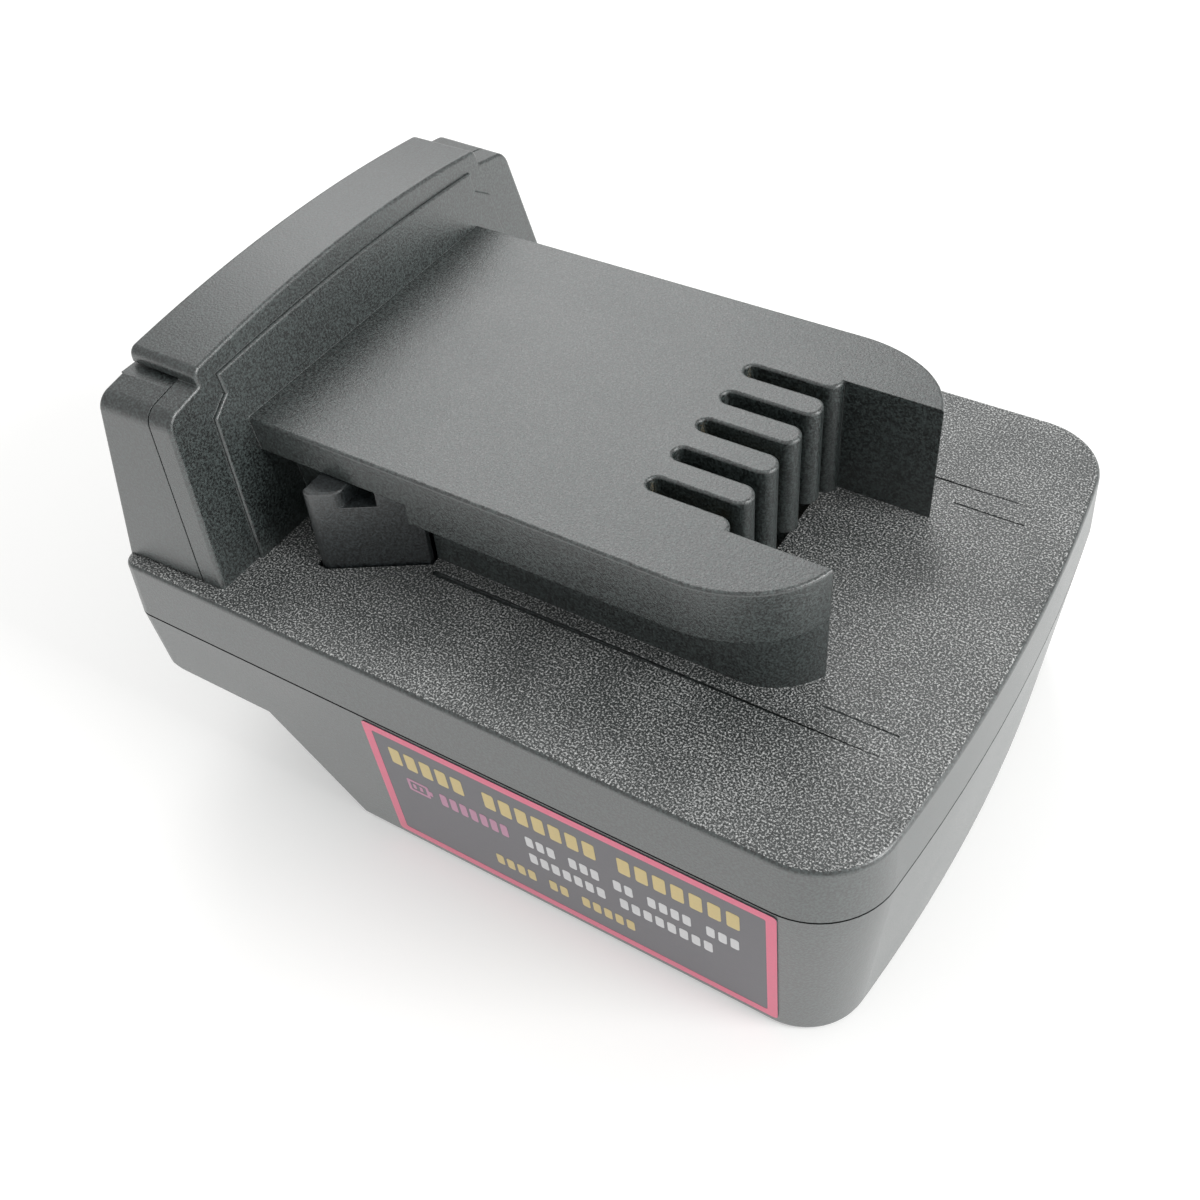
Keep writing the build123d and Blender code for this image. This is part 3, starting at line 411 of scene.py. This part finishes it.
def moulded_plastic(name, shade, look, deck=None):
    """Spark-eroded plastic with a fine grain.

    Given the deck's height, it has coarse grains on the flat deck with painted highlights: light
    glinting specks painted into its colour, fainter ones on the rail's top. It also has painted
    shade: a near-black line where the shells meet.
    """
    finish = new_finish(name)
    place = finish.place()
    fine = finish.noise(place, look.grain, roughness=GRAIN_ROUGHNESS)
    broad = finish.noise(place, BROAD_PATCH, detail=PATCHY_DETAIL)
    height = fine * look.grain_depth
    level = broad * BROAD_CONTRAST + BROAD_START + (fine - MIDDLE) * SPECKLE_CONTRAST
    tint = finish.mix(level.clamped(), tone(shade, DARK_TONE), tone(shade, LIGHT_TONE))
    painted_gap_shade = None
    if deck:
        up = finish.axis(place, "Z")
        on_deck = up.between(deck + DECK_FLAT[0], deck + DECK_FLAT[1])
        top = deck + RAIL_HEIGHT
        ahead = finish.axis(place, "X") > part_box("upper_shell")[0].x + HUMP_REACH
        on_rail = up.between(top + RAIL_FLAT[0], top + RAIL_FLAT[1]) * ahead
        coarse = finish.noise(place, look.deck_grain, roughness=DECK_GRAIN_ROUGHNESS)
        height = height + coarse * (on_deck + on_rail * RAIL_DEPTH_SHARE) * look.deck_depth
        patchy = finish.noise(place, GLINT_PATCH)
        # Painted highlights: the coarsest grains are painted light as glinting specks, fainter on
        # the rail's top, and the rest of the deck's flat is painted darker between them
        catch = (coarse - GLINT_START + (patchy - MIDDLE) * GLINT_DRIFT) * GLINT_CONTRAST
        painted_rail_glint = (catch + RAIL_GLINT_LIFT).clamped() * on_rail * RAIL_GLINT_SHARE
        painted_glint_mask = catch.clamped() * on_deck + painted_rail_glint
        ground = finish.mix(on_deck * GROUND_SHARE, tint, tone(shade, GROUND_TONE))
        tint = finish.mix(painted_glint_mask, ground, tone(look.painted_glint))
        # Painted shade: a near-black band on the parting line, standing in for the shade inside the
        # join of the shells
        seam = deck - SKIRT_HEIGHT
        painted_gap_shade = up.between(seam - look.seam, seam + look.seam)
    normal = finish.bump(height, 1.0, finish.eased(look.edge))
    rough = look.sheen + (fine - MIDDLE) * SPECKLE_SHEEN + (broad - MIDDLE) * BROAD_SHEEN
    return finish.surface(painted_gap_shade, base_color=tint, roughness=rough, normal=normal, ior=look.index)


def strip_metal(name, shade):
    """Stamped or drawn metal with faint streaks and worn patches."""
    finish = new_finish(name)
    place = finish.place()
    stretched = finish.node("ShaderNodeMapping", {}, {"Vector": place, "Scale": STREAK_STRETCH})
    streaks = finish.noise(stretched, STREAK_WIDTH)
    patches = finish.noise(place, WORN_PATCH, detail=PATCHY_DETAIL)
    tint = finish.mix(patches, tone(shade, WORN_TONE), tone(shade))
    rough = METAL_ROUGHNESS[name] + (streaks - MIDDLE) * STREAK_SHEEN
    normal = finish.bump(streaks, STREAK_DEPTH)
    return finish.surface(base_color=tint, roughness=rough, metallic=1.0, normal=normal)


def skinned(finish, place, shade, skin):
    """Colour, roughness and normal of a soft skin with this grain, depth, roughness and change."""
    grain, depth, roughness, change = skin
    noise = finish.noise(place, grain, detail=PATCHY_DETAIL)
    tint = finish.mix(noise, tone(shade, SKIN_TONE), tone(shade))
    return tint, roughness + (noise - MIDDLE) * change, finish.bump(noise, depth)


def insulation(name, shade):
    """Extruded insulation with a soft sheen."""
    finish = new_finish(name)
    tint, rough, normal = skinned(finish, finish.place(), shade, INSULATION_SKIN)
    return finish.surface(base_color=tint, roughness=rough, normal=normal)


def banded(name, look, start):
    """Glossy coat with painted bands across it, the first one pitch from the start."""
    finish = new_finish(name)
    place = finish.place()
    turn = (finish.axis(place, "X") - (start + look.band_pitch)) / look.band_pitch
    on_band = (turn.fraction() < look.band_width / look.band_pitch) * turn.between(0.0, BAND_COUNT)
    coat, rough, normal = skinned(finish, place, look.coat, COAT_SKIN)
    tint = finish.mix(on_band, coat, tone(look.band))
    return finish.surface(base_color=tint, roughness=rough, normal=normal)


def printed(name, shade, roughness):
    """Ink or film under a satin laminate, a little uneven."""
    finish = new_finish(name)
    place = finish.place()
    ink = finish.noise(place, INK_GRAIN, detail=PATCHY_DETAIL)
    film = finish.noise(place, FILM_WAVE)
    tint = finish.mix(ink, tone(shade, INK_TONES[0]), tone(shade, INK_TONES[1]))
    normal = finish.bump(ink * INK_HEIGHT_SHARE + film, FILM_DEPTH)
    rough = roughness + (ink - MIDDLE) * INK_SHEEN
    return finish.surface(base_color=tint, roughness=rough, normal=normal)


class LabelWall:
    """The label's place on the leaning wall: u runs forward, v up the wall and w out of it.

    The lean is the angle whose tangent is how far the wall moves outwards over how far it rises.
    """

    def __init__(self):
        low, high = (np.array(corner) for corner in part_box("side_label"))
        lean = math.atan2(high[1] - low[1] - LABEL_THICKNESS, high[2] - low[2])
        sine, cosine = math.sin(lean), math.cos(lean)
        self.length = high[0] - low[0]
        self.height = (high[2] - low[2] - LABEL_THICKNESS * sine) / cosine
        self.corner = np.array([low[0], high[1], low[2] + LABEL_THICKNESS * sine])
        self.along = np.array([1.0, 0.0, 0.0])
        self.upward = np.array([0.0, -sine, cosine])
        self.outward = np.array([0.0, -cosine, -sine])

    def points(self, u, v, w):
        """Places for whole arrays of u, v and w: corner + u * along + v * upward + w * outward."""
        return (
            self.corner
            + np.multiply.outer(u, self.along)
            + np.multiply.outer(v, self.upward)
            + np.multiply.outer(w, self.outward)
        )


def rounded_outline(boxes, radius):
    """Rounded rectangles as closed loops of u and v, one row for each box.

    A point at angle t lies at its corner's centre plus radius * (cos t, sin t). The centres are the
    box's corners drawn in by the radius, and each corner takes a quarter of the turn.
    """
    boxes = np.asarray(boxes, dtype=float)
    quarter = np.linspace(0.0, 1.0, CORNER_STEPS)
    turn = (np.arange(4)[:, None] + quarter[None, :]).ravel() * math.pi / 2
    right = np.repeat([1, 0, 0, 1], CORNER_STEPS)
    top = np.repeat([1, 1, 0, 0], CORNER_STEPS)
    low_u, low_v, high_u, high_v = boxes.T[:, :, None]
    u = np.where(right, high_u - radius, low_u + radius) + radius * np.cos(turn)
    v = np.where(top, high_v - radius, low_v + radius) + radius * np.sin(turn)
    return u, v


def slab_rings(wall, boxes, radius, low, high):
    """Thin slabs on the wall: the outline at low and high w, joined by a rim and closed by caps."""
    u, v = rounded_outline(boxes, radius)
    count, steps = u.shape
    levels = [wall.points(u, v, np.full_like(u, w)) for w in (low, high)]
    points = np.stack(levels, axis=1).reshape(-1, 3)
    ring = np.arange(steps)
    start = (np.arange(count) * 2 * steps)[:, None]
    here, after = start + ring, start + np.roll(ring, -1)
    rim = np.stack([here, after, after + steps, here + steps], axis=-1).reshape(-1, 4)
    return points, rim.tolist() + (start + ring[::-1]).tolist() + (start + steps + ring).tolist()


def slab_frame(wall, boxes, width, radius, low, high):
    """Thin frames on the wall: an outer and an inner outline, each at low and high w.

    The four outlines are joined in a closed ring. The inner one is the box drawn in by the width.
    """
    boxes = np.asarray(boxes, dtype=float)
    inner = boxes + np.array([1, 1, -1, -1]) * width
    loops = [rounded_outline(boxes, radius), rounded_outline(inner, radius / 2)]
    corners = [(loops[0], low), (loops[0], high), (loops[1], high), (loops[1], low)]
    points = np.stack([wall.points(u, v, np.full_like(u, w)) for (u, v), w in corners], axis=1)
    count, sides, steps, _ = points.shape
    ring = np.arange(steps)[None, None, :]
    row = np.arange(sides)[None, :, None]
    start = (np.arange(count) * sides * steps)[:, None, None]
    here, across = start + row * steps, start + np.roll(row, -1, axis=1) * steps
    step = np.roll(ring, -1, axis=2)
    quads = np.stack([here + ring, here + step, across + step, across + ring], axis=-1)
    return points.reshape(-1, 3), quads.reshape(-1, 4).tolist()


def joined(first, second):
    """Two shapes, each its points and faces, as one."""
    offset = len(first[0])
    moved = [[index + offset for index in face] for face in second[1]]
    return np.concatenate([first[0], second[0]]), first[1] + moved


def blank_cells(rows):
    """Boxes of the blank blocks in these rows: cell n starts at start + n * pitch.

    Each group of cells is followed by the room of one empty cell.
    """
    cells = []
    for _, middle, height, start, pitch, groups in rows:
        place = 0
        for group in groups:
            u = start + (place + np.arange(group)) * pitch
            low, high = np.full(group, middle - height / 2), np.full(group, middle + height / 2)
            cells.append(np.stack([u, low, u + pitch * CELL_SHARE, high], axis=-1))
            place += group + 1
    return np.concatenate(cells)


def surface_mesh(name, points, faces):
    """A mesh from an array of points and a list of faces."""
    mesh = bpy.data.meshes.new(name)
    mesh.from_pydata(points.tolist(), [], faces)
    mesh.update()
    return mesh


def paint(item, material):
    """Gives a piece one material."""
    item.data.materials.clear()
    item.data.materials.append(material)


def new_piece(name, mesh, body, material):
    """Adds a mesh as a piece that rides on a body and its material."""
    piece = bpy.data.objects.new(name, mesh)
    bpy.context.scene.collection.objects.link(piece)
    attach(piece, body)
    paint(piece, material)
    return piece


def label_layer(name, shape, ink, shade, roughness=INK_ROUGHNESS):
    """Adds one layer of the label, printed in one shade."""
    mesh = surface_mesh(name, *shape)
    return new_piece(name, mesh, "root", printed(ink, shade, roughness))


def dress(node, material):
    """Gives a node of the frame one material in place of its plain one."""
    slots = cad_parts[node].material_slots
    if not len(slots):
        raise RuntimeError(node + " has no material slot")
    for place in slots:
        place.material = material


def squeezed_coil(side, steel):
    """A copy of the latch spring as its own piece on the root, with the spring node hidden."""
    node = "latch_spring_" + side
    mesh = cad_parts[node].data.copy()
    mesh.transform(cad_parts[node].matrix_world)
    coil = new_piece("latch_coil_" + side, mesh, "root", steel)
    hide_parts(node)
    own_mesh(coil)


def frame_matrix(x, y, z, place):
    """Matrix whose axes are x, y and z and whose origin is place."""
    rows = np.eye(4)
    rows[:3, 0], rows[:3, 1], rows[:3, 2], rows[:3, 3] = x, y, z, place
    return Matrix(rows.tolist())


def unit(arrow):
    """The same direction with a length of 1."""
    return arrow / np.linalg.norm(arrow)


def lay_floor(scene, size):
    """Adds a paper floor. Its glow shows to the camera and in reflections, and lights nothing."""
    half = size / 2
    corners = np.array([(-half, -half, 0), (half, -half, 0), (half, half, 0), (-half, half, 0)])
    floor = bpy.data.objects.new("floor", surface_mesh("floor", corners, [(0, 1, 2, 3)]))
    scene.collection.objects.link(floor)
    finish = new_finish("floor_paper")
    seen = finish.node("ShaderNodeLightPath", {}, {}, "Is Camera Ray")
    mirrored = finish.node("ShaderNodeLightPath", {}, {}, "Is Glossy Ray")
    strength = seen * PAPER_SEEN + mirrored * PAPER_MIRRORED
    lift = finish.node("ShaderNodeEmission", {}, {"Color": WHITE, "Strength": strength})
    paper = finish.node("ShaderNodeBsdfDiffuse", {}, {"Color": PAPER})
    both = finish.node("ShaderNodeAddShader", {}, {0: lift, 1: paper})
    finish.node("ShaderNodeOutputMaterial", {}, {"Surface": both})
    paint(floor, finish.owner)


def surround(scene, level):
    """Sets a world that is white to the camera and this strong as a light."""
    sky = Finish(bpy.data.worlds.new("studio"))
    seen = sky.node("ShaderNodeLightPath", {}, {}, "Is Camera Ray")
    strength = seen * (1.0 - level) + level
    light = sky.node("ShaderNodeBackground", {}, {"Color": WHITE, "Strength": strength})
    sky.node("ShaderNodeOutputWorld", {}, {"Surface": light})
    scene.world = sky.owner


def hang_lamp(scene, name, place, size, power):
    """Adds a square lamp that looks at the object."""
    lamp = bpy.data.lights.new(name, "AREA")
    lamp.shape = "SQUARE"
    lamp.size = size
    lamp.energy = power
    holder = bpy.data.objects.new(name, lamp)
    scene.collection.objects.link(holder)
    toward = unit(np.array(place) - np.array(LAMP_AIM))
    side = unit(np.cross((0, 0, 1), toward))
    holder.matrix_world = frame_matrix(side, np.cross(toward, side), toward, place)


def set_camera(scene, look):
    """Adds the camera: turned round the object, raised, and tilted about its own line of sight."""
    az, el, roll = look.azimuth, look.elevation, look.roll
    back = np.array([math.sin(az) * math.cos(el), -math.cos(az) * math.cos(el), math.sin(el)])
    level = np.array([math.cos(az), math.sin(az), 0.0])
    up = np.cross(back, level)
    right = math.cos(roll) * level - math.sin(roll) * up
    top = math.sin(roll) * level + math.cos(roll) * up
    camera = bpy.data.cameras.new("camera")
    camera.sensor_width = SENSOR_WIDTH
    camera.lens = look.focal
    camera.clip_start = 1 * MM
    holder = bpy.data.objects.new("camera", camera)
    scene.collection.objects.link(holder)
    holder.matrix_world = frame_matrix(right, top, back, look.camera_place)
    scene.camera = holder


class ADAPTER_OT_shells(bpy.types.Operator):
    """Finish the upper and lower shells"""

    bl_idname = "adapter.shells"
    bl_label = "Shells"

    def execute(self, context):
        look = context.scene.adapter_housing
        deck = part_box("upper_shell")[0].z + SKIRT_HEIGHT
        plastic = moulded_plastic("shell_plastic", look.plastic, look, deck)
        for node in ("upper_shell", "lower_shell"):
            dress(node, plastic)
        return {"FINISHED"}


class ADAPTER_OT_latches(bpy.types.Operator):
    """Finish the release buttons and the latch sliders"""

    bl_idname = "adapter.latches"
    bl_label = "Latches"

    def execute(self, context):
        look = context.scene.adapter_housing
        button = moulded_plastic("button_plastic", look.plastic, look)
        claw = moulded_plastic("claw_plastic", look.claw_plastic, look)
        for side in SIDES:
            dress("release_button_" + side, button)
            dress("latch_slider_" + side, claw)
        return {"FINISHED"}


class ADAPTER_OT_metals(bpy.types.Operator):
    """Finish the contacts, blades, screws, springs and the plastic that holds them"""

    bl_idname = "adapter.metals"
    bl_label = "Metals"

    def execute(self, context):
        look = context.scene.adapter_metal
        brass = strip_metal("contact_brass", look.brass)
        tinned = strip_metal("blade_brass", look.tinned)
        steel = strip_metal("spring_steel", look.steel)
        zinc = strip_metal("screw_zinc", look.zinc)
        for end in ("positive", "negative", "signal"):
            dress("tool_contact_" + end, brass)
            dress("battery_blade_" + end, tinned)
        for side in SIDES:
            dress("latch_spring_" + side, steel)
            squeezed_coil(side, steel)
        for held in ("housing", "carrier", "terminal_block"):
            dress(held + "_screws", zinc)
        housing = context.scene.adapter_housing
        dress("contact_carrier", moulded_plastic("carrier_plastic", look.carrier, housing))
        dress("terminal_block", moulded_plastic("block_plastic", look.block, housing))
        return {"FINISHED"}


class ADAPTER_OT_wiring(bpy.types.Operator):
    """Finish the leads and the resistor"""

    bl_idname = "adapter.wiring"
    bl_label = "Wiring"

    def execute(self, context):
        look = context.scene.adapter_wiring
        dress("positive_lead", insulation("red_insulation", look.red))
        dress("negative_lead", insulation("black_insulation", look.black))
        dress("signal_lead", insulation("yellow_insulation", look.yellow))
        dress("id_resistor", banded("resistor_coat", look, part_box("id_resistor")[0].x))
        return {"FINISHED"}


class ADAPTER_OT_label(bpy.types.Operator):
    """Make the printed label: film, frame, rows of blank blocks and a battery symbol"""

    bl_idname = "adapter.label"
    bl_label = "Label"

    def execute(self, context):
        look = context.scene.adapter_label
        wall = LabelWall()
        whole = [(0, 0, wall.length, wall.height)]
        film_top = look.film_thickness
        ink_top = film_top + look.ink_thickness
        film = slab_rings(wall, whole, look.corner, 0.0, film_top)
        piece = label_layer("label_film", film, "label_film", look.film, FILM_ROUGHNESS)
        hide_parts("side_label")

        border = slab_frame(wall, whole, look.frame_width, look.corner, film_top, ink_top)
        label_layer("label_frame", border, "label_pink", look.pink)

        for ink in ("yellow", "pale_pink", "white"):
            cells = blank_cells([row for row in ROWS if row[0] == ink])
            blocks = slab_rings(wall, cells, CELL_CORNER, film_top, ink_top)
            label_layer("label_" + ink, blocks, "label_" + ink, getattr(look, ink))

        case = slab_frame(wall, [SYMBOL_CASE], look.stroke, CELL_CORNER, film_top, ink_top)
        bars = slab_rings(wall, SYMBOL_BARS, CELL_CORNER / 2, film_top, ink_top)
        label_layer("label_symbol", joined(case, bars), "label_symbol", look.pale_pink)
        return {"FINISHED"}


class ADAPTER_OT_stage(bpy.types.Operator):
    """Set up the floor, the lamps, the world and the camera"""

    bl_idname = "adapter.stage"
    bl_label = "Stage"

    def execute(self, context):
        look = context.scene.adapter_stage
        scene = context.scene
        lay_floor(scene, look.floor_size)
        surround(scene, look.world_level)
        for name, place, size, power in LAMPS:
            hang_lamp(scene, name, place, size, power)
        set_camera(scene, look)
        scene.view_settings.view_transform = "Standard"
        return {"FINISHED"}


class ADAPTER_PT_panel(bpy.types.Panel):
    """Lists the adapter's operators"""

    bl_label = "Battery adapter"
    bl_space_type = "VIEW_3D"
    bl_region_type = "UI"
    bl_category = "Adapter"

    def draw(self, context):
        for operator in OPERATORS:
            self.layout.operator(operator.bl_idname)


SETTINGS = {
    "adapter_housing": HousingFinish,
    "adapter_metal": MetalFinish,
    "adapter_wiring": WiringFinish,
    "adapter_label": LabelFinish,
    "adapter_stage": StageFinish,
}
OPERATORS = (
    ADAPTER_OT_shells,
    ADAPTER_OT_latches,
    ADAPTER_OT_metals,
    ADAPTER_OT_wiring,
    ADAPTER_OT_label,
    ADAPTER_OT_stage,
)
CLASSES = (*SETTINGS.values(), *OPERATORS, ADAPTER_PT_panel)


def register():
    """Registers the classes and gives the scene its settings."""
    for item in CLASSES:
        bpy.utils.register_class(item)
    for name, group in SETTINGS.items():
        setattr(bpy.types.Scene, name, bpy.props.PointerProperty(type=group))


def unregister():
    """Removes the settings and the classes."""
    for name in SETTINGS:
        delattr(bpy.types.Scene, name)
    for item in reversed(CLASSES):
        bpy.utils.unregister_class(item)


def main():
    """Makes every piece in turn."""
    register()
    for operator in OPERATORS:
        group, name = operator.bl_idname.split(".")
        getattr(getattr(bpy.ops, group), name)()


if __name__ == "__main__":
    main()
